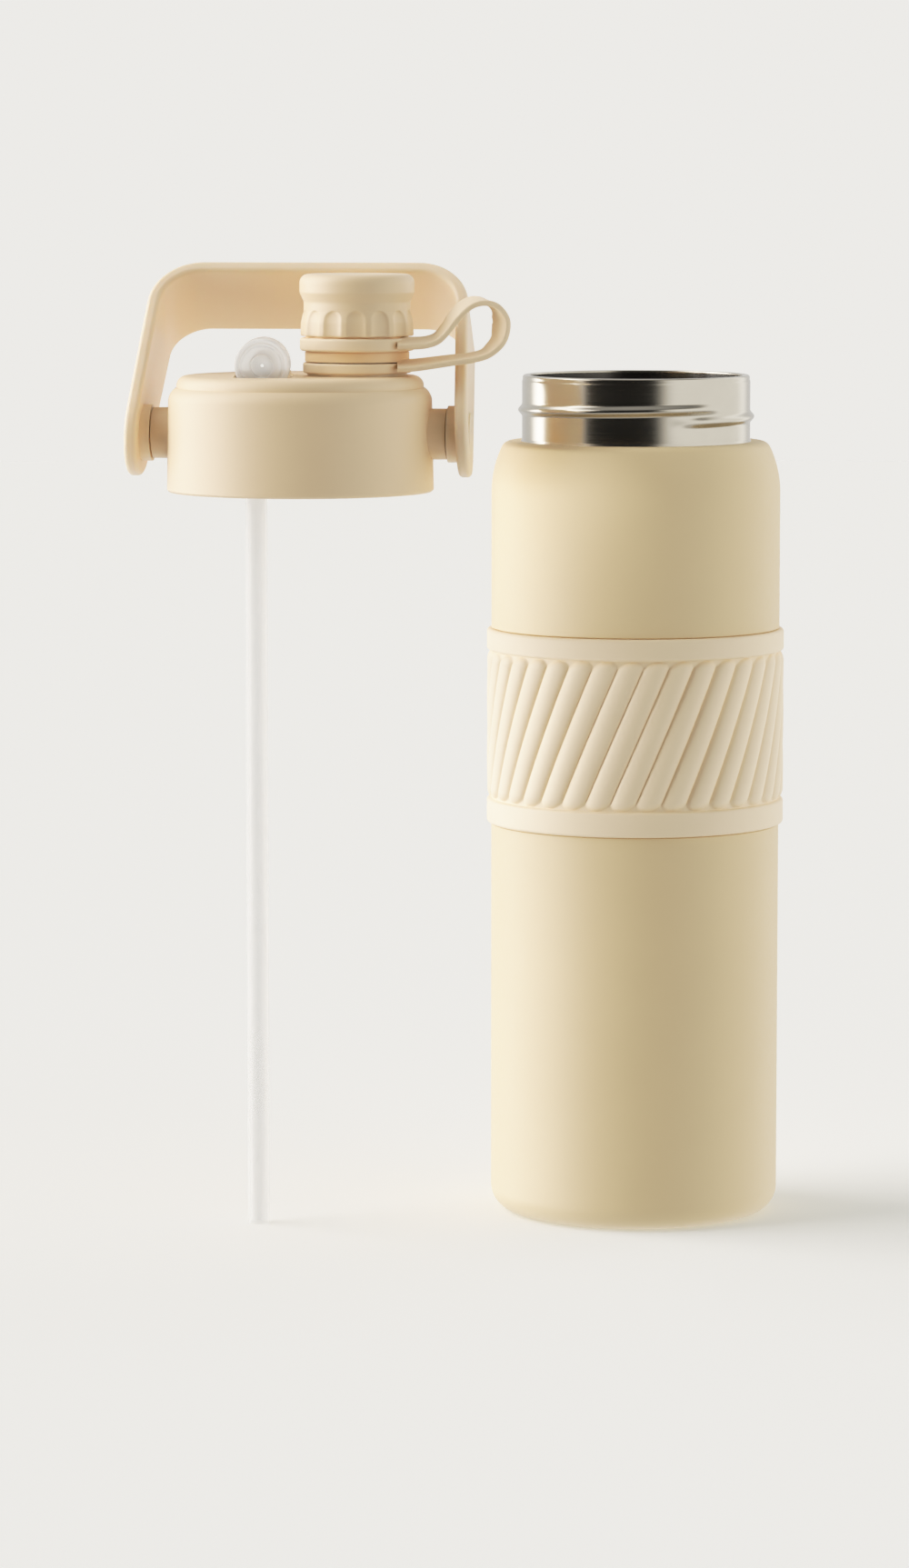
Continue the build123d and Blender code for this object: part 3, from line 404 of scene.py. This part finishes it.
def build(name, points, faces, finish_name, body, matrix=None):
    """A piece from points in millimetres and faces. It rides on the body, if one is given."""
    mesh = bpy.data.meshes.new(name)
    mesh.from_pydata((np.asarray(points, float) * MM).tolist(), [], faces)
    work = bmesh.new()
    work.from_mesh(mesh)
    bmesh.ops.remove_doubles(work, verts=work.verts, dist=MERGE_METRES)
    bmesh.ops.recalc_face_normals(work, faces=work.faces)
    work.to_mesh(mesh)
    work.free()
    if matrix is not None:
        mesh.transform(matrix)
    mesh.shade_smooth()
    mesh.set_sharp_from_angle(angle=radians(SHARP_ANGLE))
    mesh.materials.append(FINISHES[finish_name])
    made = bpy.data.objects.new(name, mesh)
    scene.collection.objects.link(made)
    if body is not None:
        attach(made, body)
    return made


def grid_faces(rows, columns, closed_rows=False):
    """Quads over a grid of points, row by row. Every row is closed on itself."""
    faces = []
    for r in range(rows if closed_rows else rows - 1):
        s = (r + 1) % rows
        for c in range(columns):
            d = (c + 1) % columns
            faces.append((r * columns + c, r * columns + d, s * columns + d, s * columns + c))
    return faces


def lathe(name, path, finish_name, body, columns, centre=(0, 0, 0), relief=None, slant=None,
          closed=True, matrix=None):
    """A turned piece from a section of (radius, height), closed on itself or from axis to axis.
    relief(angle, radius, height) gives how far points move outwards, and slant(height) turns each row
    by an angle, so that the grid follows slanting ribs."""
    path = np.array(path, float)
    turn = np.linspace(0, 2 * pi, columns, endpoint=False)
    radius = np.repeat(path[:, :1], columns, 1)
    level = np.repeat(path[:, 1:], columns, 1)
    angle = np.repeat(turn[None, :], len(path), 0)
    if slant is not None:
        angle = angle + slant(level)
    if relief is not None:
        radius = radius + relief(angle, radius, level)
    points = np.stack([radius * np.cos(angle) + centre[0], radius * np.sin(angle) + centre[1],
                       level + centre[2]], -1).reshape(-1, 3)
    return build(name, points, grid_faces(len(path), columns, closed), finish_name, body, matrix)


def smooth(x):
    """0 up to x = 0 and 1 from x = 1, with an easy S between."""
    x = np.clip(x, 0, 1)
    return x * x * (3 - 2 * x)


# ---------------------------------------------------------------- bottle
BODY_RADIUS = 37.0
SHELL_WALL = 0.7
BASE_RADIUS = 29.5
FOOT_RADIUS, FOOT_ROUND = 30.7, 6.3
SLEEVE_LOW, SLEEVE_HIGH = 101.0, 151.1
SLEEVE_BORE, SLEEVE_SKIN = 36.4, 0.3
SEAT_DEPTH, SEAT_SLOPE = 0.55, 0.3
SHOULDER_START, SHOULDER_END, SHOULDER_ROUND = 186.0, 197.58, 27.0
SHOULDER_TURN = degrees(asin((SHOULDER_END - SHOULDER_START) / SHOULDER_ROUND))
SHOULDER_TOP = 199.065
EDGE_ROUND = 2.6
NECK_RADIUS = 29.2


def shell_side(inward):
    """The outer shell's section, moved inwards by that much, from the foot to the neck."""
    shoulder_centre = (BODY_RADIUS - SHOULDER_ROUND, SHOULDER_START)
    joint = SHOULDER_ROUND - EDGE_ROUND
    edge_centre = (shoulder_centre[0] + joint * cos(radians(SHOULDER_TURN)),
                   shoulder_centre[1] + joint * sin(radians(SHOULDER_TURN)))
    wall = BODY_RADIUS - inward
    seat = wall - SEAT_DEPTH
    path = [(BASE_RADIUS, inward)]
    path += arc((FOOT_RADIUS, FOOT_ROUND), FOOT_ROUND - inward, -90, 0, 14)
    path += [(wall, SLEEVE_LOW - SEAT_SLOPE), (seat, SLEEVE_LOW), (seat, SLEEVE_HIGH),
             (wall, SLEEVE_HIGH + SEAT_SLOPE)]
    path += arc(shoulder_centre, SHOULDER_ROUND - inward, 0, SHOULDER_TURN, 16)
    path += arc(edge_centre, EDGE_ROUND - inward, SHOULDER_TURN, 90, 10)[1:]
    path.append((NECK_RADIUS, SHOULDER_TOP - inward))
    return path


body_path = shell_side(0) + shell_side(SHELL_WALL)[::-1]
bottle_body = lathe("bottle_body", dense(body_path, 6.0), "body_coat", "bottle", columns=256)
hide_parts("outer_shell")
# The small lamp lights nothing else.
kicker_lit = bpy.data.collections.new("kicker_lit")
kicker_lit.objects.link(bottle_body)
kicker.light_linking.receiver_collection = kicker_lit

# The neck's rolled thread: one bead that runs once round and a little more, and fades at both ends.
THREAD_START, THREAD_PITCH, THREAD_TURNS = 204.8, 3.2, 1.1
THREAD_ANGLE = radians(-75)
THREAD_RISE, THREAD_HALF_WIDTH, THREAD_FADE = 1.03, 1.75, 0.06
NECK_SKIN = 0.5


def rolled_thread(angle, radius, level):
    """How far the thread stands out of the neck's outside."""
    rise = np.zeros_like(radius)
    for lap in (0, 1):
        turns = ((angle - THREAD_ANGLE) / (2 * pi)) % 1.0 + lap
        fade = smooth(turns / THREAD_FADE) * smooth((THREAD_TURNS - turns) / THREAD_FADE)
        off = np.abs(level - THREAD_START - THREAD_PITCH * turns) / THREAD_HALF_WIDTH
        rise = np.maximum(rise, THREAD_RISE * fade * np.cos(np.clip(off, 0, 1) * pi / 2) ** 2)
    return np.where(radius > NECK_RADIUS - NECK_SKIN, rise, 0.0)


# The rim is rolled outwards over the neck's top, and is finished with it.
NECK_BORE, NECK_FOOT, NECK_TOP = 28.3, 198.4, 214.4
RIM_RADIUS, RIM_LOW = 29.05, 214.8
MOUTH_RADIUS, MOUTH_HEIGHT = 27.4, 216.0
LIP_RADIUS, LIP_LOW = MOUTH_RADIUS - 0.05, 215.2
neck_path = soften([
    (NECK_BORE, NECK_FOOT, 0), (NECK_RADIUS, NECK_FOOT, 0), (29.5, 199.0, 0.2), (NECK_RADIUS, 199.7, 0.3),
    (NECK_RADIUS, NECK_TOP, 0.5), (RIM_RADIUS, RIM_LOW, 0.4), (RIM_RADIUS, MOUTH_HEIGHT, 0.7),
    (LIP_RADIUS, MOUTH_HEIGHT, 0.35), (LIP_RADIUS, LIP_LOW, 0.1), (NECK_BORE, LIP_LOW, 0),
])
neck = lathe("neck", dense(neck_path, 0.16), "bare_steel", "bottle", columns=320, relief=rolled_thread)
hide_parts("threaded_neck")

FLASK_WALL = 0.6
FLASK_FLOOR, FLASK_RADIUS, FLASK_ROUND = 5.8, 33.5, 9.0
FLASK_NARROWS, FLASK_SHOULDER, FLASK_SHOULDER_LENGTH = 5.5, 181.0, 12.0
FLASK_TOP = 215.25
SHOULDER_STEPS = 12


def flask_wall(inward):
    """The flask's section from the middle of its floor up to its neck."""
    foot_centre = (FLASK_RADIUS - FLASK_ROUND, FLASK_FLOOR + FLASK_ROUND)
    path = [(0.0, FLASK_FLOOR + inward)] + arc(foot_centre, FLASK_ROUND - inward, -90, 0, 12)
    for k in range(SHOULDER_STEPS + 1):
        share = k / SHOULDER_STEPS
        narrowing = FLASK_NARROWS * (3 * share ** 2 - 2 * share ** 3)
        level = FLASK_SHOULDER + FLASK_SHOULDER_LENGTH * share
        path.append((FLASK_RADIUS - inward - narrowing, level))
    return path


lip = [(FLASK_RADIUS - FLASK_NARROWS, FLASK_TOP), (MOUTH_RADIUS, FLASK_TOP)]
flask_path = flask_wall(0) + lip + flask_wall(FLASK_WALL)[::-1]
flask = lathe("flask", dense(flask_path, 7.0), "flask_steel", "bottle", columns=224, closed=False)
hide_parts("inner_flask")

# ---------------------------------------------------------------- grip sleeve
RIB_COUNT = 36
RIB_COLUMNS = 14
RIB_LOW, RIB_HIGH = 107.7, 145.3
RIB_DEPTH = 1.15
RIB_END = 2.6
RIB_END_STEPS = 12
RIB_FULLNESS = 0.62
RIB_SLANT = radians(0.662)  # per millimetre of height
SLEEVE_RADIUS = 38.15
SLEEVE_MIDDLE = (RIB_LOW + RIB_HIGH) / 2
LAND = SLEEVE_RADIUS - RIB_DEPTH
TINY = 0.01


def rib_slant(level):
    """The angle by which the ribs have turned at a height."""
    return RIB_SLANT * (np.clip(level, RIB_LOW, RIB_HIGH) - SLEEVE_MIDDLE)


def ribs(angle, radius, level):
    """Domed ribs with sharp valleys between them and rounded ends."""
    across = ((angle - rib_slant(level)) * RIB_COUNT / (2 * pi)) % 1.0
    across = np.abs(2 * across - 1)
    to_end = np.minimum(level - RIB_LOW, RIB_HIGH - level)
    along = np.clip((RIB_END - to_end) / RIB_END, 0, 2)
    dome = np.clip(1 - across ** 2 - along ** 2, 0, 1) ** RIB_FULLNESS
    outside = radius > SLEEVE_BORE + SLEEVE_SKIN
    on_band = outside & (level > RIB_LOW - TINY) & (level < RIB_HIGH + TINY)
    return np.where(on_band, RIB_DEPTH * dome, 0.0)


lower_bead = soften([
    (SLEEVE_BORE, SLEEVE_LOW, 0), (SLEEVE_RADIUS, SLEEVE_LOW, 1.0), (SLEEVE_RADIUS, 107.2, 0.9),
    (LAND, 107.45, 0.25), (LAND, RIB_LOW, 0),
], closed=False)
upper_bead = soften([
    (LAND, RIB_HIGH, 0), (LAND, 145.5, 0.25), (SLEEVE_RADIUS, 145.75, 0.9),
    (SLEEVE_RADIUS, SLEEVE_HIGH, 1.0), (SLEEVE_BORE, SLEEVE_HIGH, 0),
], closed=False)
ends = [(LAND, RIB_LOW + RIB_END * k / RIB_END_STEPS) for k in range(1, RIB_END_STEPS + 1)]
middle = [(LAND, z) for z in np.linspace(RIB_LOW + RIB_END, RIB_HIGH - RIB_END, 22)[1:]]
tops = [(LAND, RIB_HIGH - RIB_END + RIB_END * k / RIB_END_STEPS) for k in range(1, RIB_END_STEPS)]
sleeve_path = lower_bead + ends + middle + tops + upper_bead
sleeve = lathe("grip_sleeve_ribbed", sleeve_path, "sleeve_silicone", "bottle",
               columns=RIB_COUNT * RIB_COLUMNS, relief=ribs, slant=rib_slant)
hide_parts("grip_sleeve")

# ---------------------------------------------------------------- the lid's places, from the frame
def axis_of(box):
    """Where the upright axis of a box from the frame stands, in millimetres."""
    low, high = box
    return (low.x + high.x) / 2 / MM, (low.y + high.y) / 2 / MM


# The cap and the tether are measured from the top of the deck, which lies on the lid's shell.
DECK_THICKNESS = 3.0
LID = (*axis_of(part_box("lid_deck")), (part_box("lid_shell")[1].z + DECK_THICKNESS * MM) / MM)
SPOUT = (*axis_of(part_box("cap_gasket")), LID[2])

# ---------------------------------------------------------------- spout cap
CAP_TOP, CAP_SKIRT, CAP_CEILING = 25.4, 9.9, 23.2
CAP_HEAD, CAP_WAIST, CAP_BORE = 14.4, 13.35, 12.2
CAP_SKIN = 13.0
FLUTES = 14
FLUTE_COLUMNS = 18
FLUTE_TOP, FLUTE_FADE = 16.4, 2.0
FLUTE_DEPTH = 0.6
FLUTE_SHARE = 0.72
FLUTE_FULLNESS = 0.6


def flutes(angle, radius, level):
    """Scoops round the cap's skirt, with rounded tops."""
    across = (angle * FLUTES / (2 * pi)) % 1.0
    across = np.abs(2 * across - 1) / FLUTE_SHARE
    above = np.clip((level - (FLUTE_TOP - FLUTE_FADE)) / FLUTE_FADE, 0, 2)
    scoop = np.clip(1 - across ** 2 - above ** 2, 0, 1) ** FLUTE_FULLNESS
    return np.where(radius > CAP_SKIN, -FLUTE_DEPTH * scoop, 0.0)


cap_outside = soften([
    (0, CAP_TOP, 0), (CAP_HEAD, CAP_TOP, 2.3), (CAP_HEAD, 20.8, 1.6), (CAP_WAIST, 18.4, 1.6),
    (CAP_WAIST, 16.2, 1.8), (14.05, 13.4, 1.8), (14.2, CAP_SKIRT, 0.5), (CAP_BORE, CAP_SKIRT, 0.2),
    (CAP_BORE, CAP_CEILING, 0.3), (0, CAP_CEILING, 0),
], closed=False, steps=7)
cap = lathe("spout_cap", dense(cap_outside, 0.35), "lid_plastic", "cap", centre=SPOUT,
            columns=FLUTES * FLUTE_COLUMNS, relief=flutes, closed=False)
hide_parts("cap_shell")


# ---------------------------------------------------------------- tether
def ring_section(inner, outer, low, high, inner_round, outer_round):
    """A ring's section, with its bore and its outside each rounded by its own radius."""
    return soften([(inner, low, inner_round), (outer, low, outer_round), (outer, high, outer_round),
                   (inner, high, inner_round)])


upper_ring = lathe("tether_ring_upper", ring_section(12.98, 14.35, 6.25, 9.5, 0.2, 0.7), "tether_silicone",
                   "cap_ring", centre=SPOUT, columns=128)
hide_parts("tether_upper_ring")
lower_ring = lathe("tether_ring_lower", ring_section(12.5, 13.6, 0.7, 3.3, 0.1, 0.5), "tether_silicone",
                   "lid", centre=SPOUT, columns=128)
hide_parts("tether_lower_ring")

# The strap's front edge runs through these points (x from the lid's axis, height over the deck).
STRAP_POINTS = (
    (24.5, 7.5), (29.4, 7.5), (32.4, 7.9), (35.0, 9.0), (37.5, 11.6), (40.2, 15.0), (43.3, 17.6),
    (46.7, 18.4), (50.0, 17.3), (52.2, 13.8), (51.3, 9.0), (47.8, 5.6), (43.5, 4.2), (38.7, 3.5),
    (33.0, 2.6), (28.5, 2.0), (24.5, 1.9),
)
STRAP_STEPS = 7
STRAP_WIDTH = 7.0
STRAP_THICKNESS = 1.45
STRAP_EDGE = 0.45
STRAP_TWIST = radians(33)
STRAP_TILT = 0.28
STRAP_FRONT = -12.0
STRAP_ROOT = 26.0
STRAP_HEADING = 0.0175


def flowing(points, steps):
    """A smooth line through points, by Catmull-Rom pieces."""
    knots = [Vector(p) for p in points]
    knots = [2 * knots[0] - knots[1]] + knots + [2 * knots[-1] - knots[-2]]
    line = []
    for a, b, c, d in zip(knots, knots[1:], knots[2:], knots[3:]):
        for k in range(steps):
            t = k / steps
            bend = (2 * a - 5 * b + 4 * c - d) * t ** 2 + (3 * b - a - 3 * c + d) * t ** 3
            line.append(0.5 * (2 * b + (c - a) * t + bend))
    line.append(knots[-2])
    return line


def strap_section():
    """The strap's section: (across the width from the front edge, through the thickness)."""
    half = STRAP_THICKNESS / 2
    return soften([(0, -half, STRAP_EDGE), (STRAP_WIDTH, -half, STRAP_EDGE),
                   (STRAP_WIDTH, half, STRAP_EDGE), (0, half, STRAP_EDGE)], steps=4)


line = [Vector((x, STRAP_FRONT + STRAP_HEADING * (x - STRAP_ROOT), z))
        for x, z in flowing(STRAP_POINTS, STRAP_STEPS)]
length = [0.0]
for a, b in zip(line, line[1:]):
    length.append(length[-1] + (b - a).length)
section = strap_section()
points = []
for i, here in enumerate(line):
    share = length[i] / length[-1]
    twist = STRAP_TWIST * sin(pi * share) ** 2
    ahead = (line[min(i + 1, len(line) - 1)] - line[max(i - 1, 0)]).normalized()
    wide = Vector((-sin(twist), cos(twist), STRAP_TILT * cos(pi * share) ** 2))
    wide = (wide - ahead * wide.dot(ahead)).normalized()
    thick = ahead.cross(wide)
    for across_strap, through in section:
        points.append(tuple(here + wide * across_strap + thick * through + Vector(LID)))
faces = grid_faces(len(line), len(section))
faces.append(tuple(range(len(section)))[::-1])
faces.append(tuple(range(len(points) - len(section), len(points))))
strap = build("tether_loop", points, faces, "tether_silicone", None)
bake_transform(strap)
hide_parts("tether_strap")

# ---------------------------------------------------------------- nozzle and straw
NOZZLE_RADIUS, NOZZLE_LENGTH = 6.8, 16.6
NOZZLE_BORE, NOZZLE_BORE_END = 3.45, 5.0
MOUTH_BORE, PINHOLE = 2.8, 0.4
WEB_FRONT, WEB_BACK = 3.2, 4.0
nozzle_low, nozzle_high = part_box("straw_nozzle")
NOZZLE_AXIS = ((nozzle_low.x + nozzle_high.x) / 2, nozzle_low.y, (nozzle_low.z + nozzle_high.z) / 2)
# Turned about its own axis: height 0 is the tip, and the tip faces the front. A thin web with a
# pinhole closes its bore, and a shallow groove runs round the tip.
facing = Matrix.Translation(NOZZLE_AXIS) @ Matrix.Rotation(radians(-90), 4, "X")
nozzle_path = soften([
    (PINHOLE, WEB_FRONT, 0.2), (MOUTH_BORE, WEB_FRONT, 0.3), (MOUTH_BORE, 0.15, 0.3), (4.9, 0.0, 0.3),
    (5.05, 0.5, 0.1), (5.55, 0.5, 0.1), (5.7, 0.0, 0.3), (NOZZLE_RADIUS, 0.0, 1.0),
    (NOZZLE_RADIUS, NOZZLE_LENGTH, 0.6), (NOZZLE_BORE, NOZZLE_LENGTH, 0.2),
    (NOZZLE_BORE, NOZZLE_BORE_END, 0.2), (MOUTH_BORE, NOZZLE_BORE_END, 0.2),
    (MOUTH_BORE, WEB_BACK, 0.3), (PINHOLE, WEB_BACK, 0.2),
], steps=5)
nozzle = lathe("nozzle_soft", dense(nozzle_path, 1.5), "clear_silicone", "nozzle", columns=96,
               matrix=facing)
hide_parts("straw_nozzle")

STRAW_BORE, STRAW_RADIUS, STRAW_LENGTH = 2.2, 2.85, 205.0
STRAW = (*axis_of(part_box("straw")), 0.0)
straw_path = soften([(STRAW_BORE, 0.0, 0.15), (STRAW_RADIUS, 0.0, 0.2), (STRAW_RADIUS, STRAW_LENGTH, 0.1),
                     (STRAW_BORE, STRAW_LENGTH, 0.1)], steps=3)
straw = lathe("long_straw", dense(straw_path, 8.0), "straw_plastic", "lid", centre=STRAW, columns=64)
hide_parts("straw")
